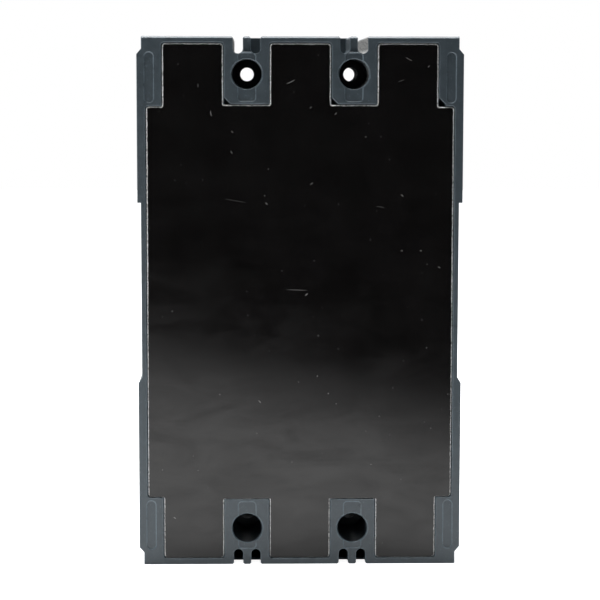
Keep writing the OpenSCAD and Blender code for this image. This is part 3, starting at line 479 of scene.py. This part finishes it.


# ---- Trip button spring -------------------------------------------------------------------------
# A coil of spring wire round the trip button's rod, between the floor of the cover's well and the
# button's flange. The real spring shortens when the button is pressed; this coil is drawn once, at the CAD
# spring's length, and stays still.
def coil(axis, floor_y, top_y, radius, wire_r, turns, stroke):
    """A wire wound round Y, whose sections are points on a circle. The centre line stands at the radius
    and turns through a, and its height h solves h - stroke * (3t^2 - 2t^3) = even steps, with t the share
    of the way up, so that the turns lie at even steps once the top has gone down by the stroke."""
    sides, per_turn = 10, 36
    length = abs(top_y - floor_y) - 2 * wire_r
    t = np.linspace(0, 1, 400)
    pressed = length * t - stroke * t * t * (3 - 2 * t)
    steps = per_turn * turns
    share = np.interp(np.linspace(0, pressed[-1], steps), np.maximum.accumulate(pressed), t)
    height = floor_y + np.sign(top_y - floor_y) * (wire_r + length * share)
    a = np.linspace(0, 2 * np.pi * turns, steps)
    b = np.linspace(0, 2 * np.pi, sides, endpoint=False)
    reach = radius + wire_r * np.cos(b)[None, :]
    x = axis[0] + reach * np.cos(a)[:, None]
    z = axis[1] + reach * np.sin(a)[:, None]
    y = height[:, None] + wire_r * np.sin(b)[None, :]
    ends = [list(range(sides))[::-1], list(range((steps - 1) * sides, steps * sides))]
    return np.stack([x, y, z], -1).reshape(-1, 3), ring_faces(steps, sides).tolist() + ends


low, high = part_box("trip_button_spring")
middle = (low + high) / 2
wire_r = 0.00025
stroke = 0.002
coil_r = (high.x - low.x) / 2 - wire_r
points, faces = coil((middle.x, middle.z), high.y, low.y, coil_r, wire_r, 4, stroke)
button_coil = piece("button_coil", points, faces, [wire], None, ["trip_button_spring"])
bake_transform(button_coil)


# ---- Floor and light ----------------------------------------------------------------------------
# A white table under a soft lamp overhead and a weak one high on the plate's side. For light and
# reflections its colour is a painted pool of light, bright by the plate and fading dark towards the room that
# the plate faces, along a line at a slant to the plate; to the eye it is plain white.
floor_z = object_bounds()[0].z
half_width, front_y, back_y = 1.5, -2, 1
table_corners = [
    (-half_width, front_y, floor_z), (half_width, front_y, floor_z),
    (half_width, back_y, floor_z), (-half_width, back_y, floor_z)
]
floor_mesh = bpy.data.meshes.new("floor")
floor_mesh.from_pydata(table_corners, [], [(0, 1, 2, 3)])
floor = bpy.data.objects.new("floor", floor_mesh)
bpy.context.scene.collection.objects.link(floor)
table = bpy.data.materials.new("white table")
add = shader_graph(table)
place = add("TexCoord").outputs["Object"]
# Painted pool of light: the table's colour for light and reflections fades from white near the plate to dark
# further off
out = add("VectorMath", {"operation": "DOT_PRODUCT"}, i0=place, i1=(-1.6, 1, 0)).outputs["Value"]
near, far, bright, dim = 0.12, 0.52, 0.97, 0.02
smooth = {"interpolation_type": "SMOOTHSTEP"}
painted_light_pool = add("MapRange", smooth, Value=out, From_Min=near, From_Max=far, To_Min=bright, To_Max=dim)
seen = add("LightPath").outputs["Is Camera Ray"]
matt = add("BsdfDiffuse", None, Color=painted_light_pool.outputs[0])
white = add("BsdfDiffuse", None, Color=(0.8, 0.8, 0.8, 1))
glow = add("Emission", None, Color=(1, 1, 1, 1), Strength=0.95)
both = add("AddShader", None, i0=white.outputs[0], i1=glow.outputs[0])
mixed = add("MixShader", None, i0=seen, i1=matt.outputs[0], i2=both.outputs[0])
add("OutputMaterial", None, Surface=mixed.outputs[0])
floor_mesh.materials.append(table)

# The room is dark on the side that the plate faces and bright on the other, and plain white to the eye
studio = bpy.data.worlds.new("studio")
bpy.context.scene.world = studio
add = shader_graph(studio)
ahead_y = add("SeparateXYZ", None, Vector=add("TexCoord").outputs["Generated"]).outputs["Y"]
room = add("MapRange", None, Value=ahead_y, From_Min=0.12, From_Max=-0.12, To_Min=0.03, To_Max=0.9).outputs[0]
seen = add("LightPath").outputs["Is Camera Ray"]
brightness = add("Mix", {"data_type": "FLOAT"}, i0=seen, i2=room, i3=1.0).outputs[0]
backdrop = add("Background", None, Color=(1, 1, 1, 1), Strength=brightness)
add("OutputWorld", None, Surface=backdrop.outputs[0])

# Each lamp's power, its two sides, its place and its tilt about X
for name, energy, width, depth, place, tilt in (
    ("overhead", 15.6, 0.8, 0.5, (0.16, -0.05, 0.9), 0),
    ("high_side", 0.15, 0.6, 0.4, (0, 0.8, 0.62), -0.85)
):
    lamp = bpy.data.lights.new(name, "AREA")
    lamp.shape = "RECTANGLE"
    lamp.size, lamp.size_y = width, depth
    lamp.energy = energy
    stand = bpy.data.objects.new(name, lamp)
    stand.location = place
    stand.rotation_euler = (tilt, 0, 0)
    bpy.context.scene.collection.objects.link(stand)

bpy.context.scene.view_settings.view_transform = "Standard"
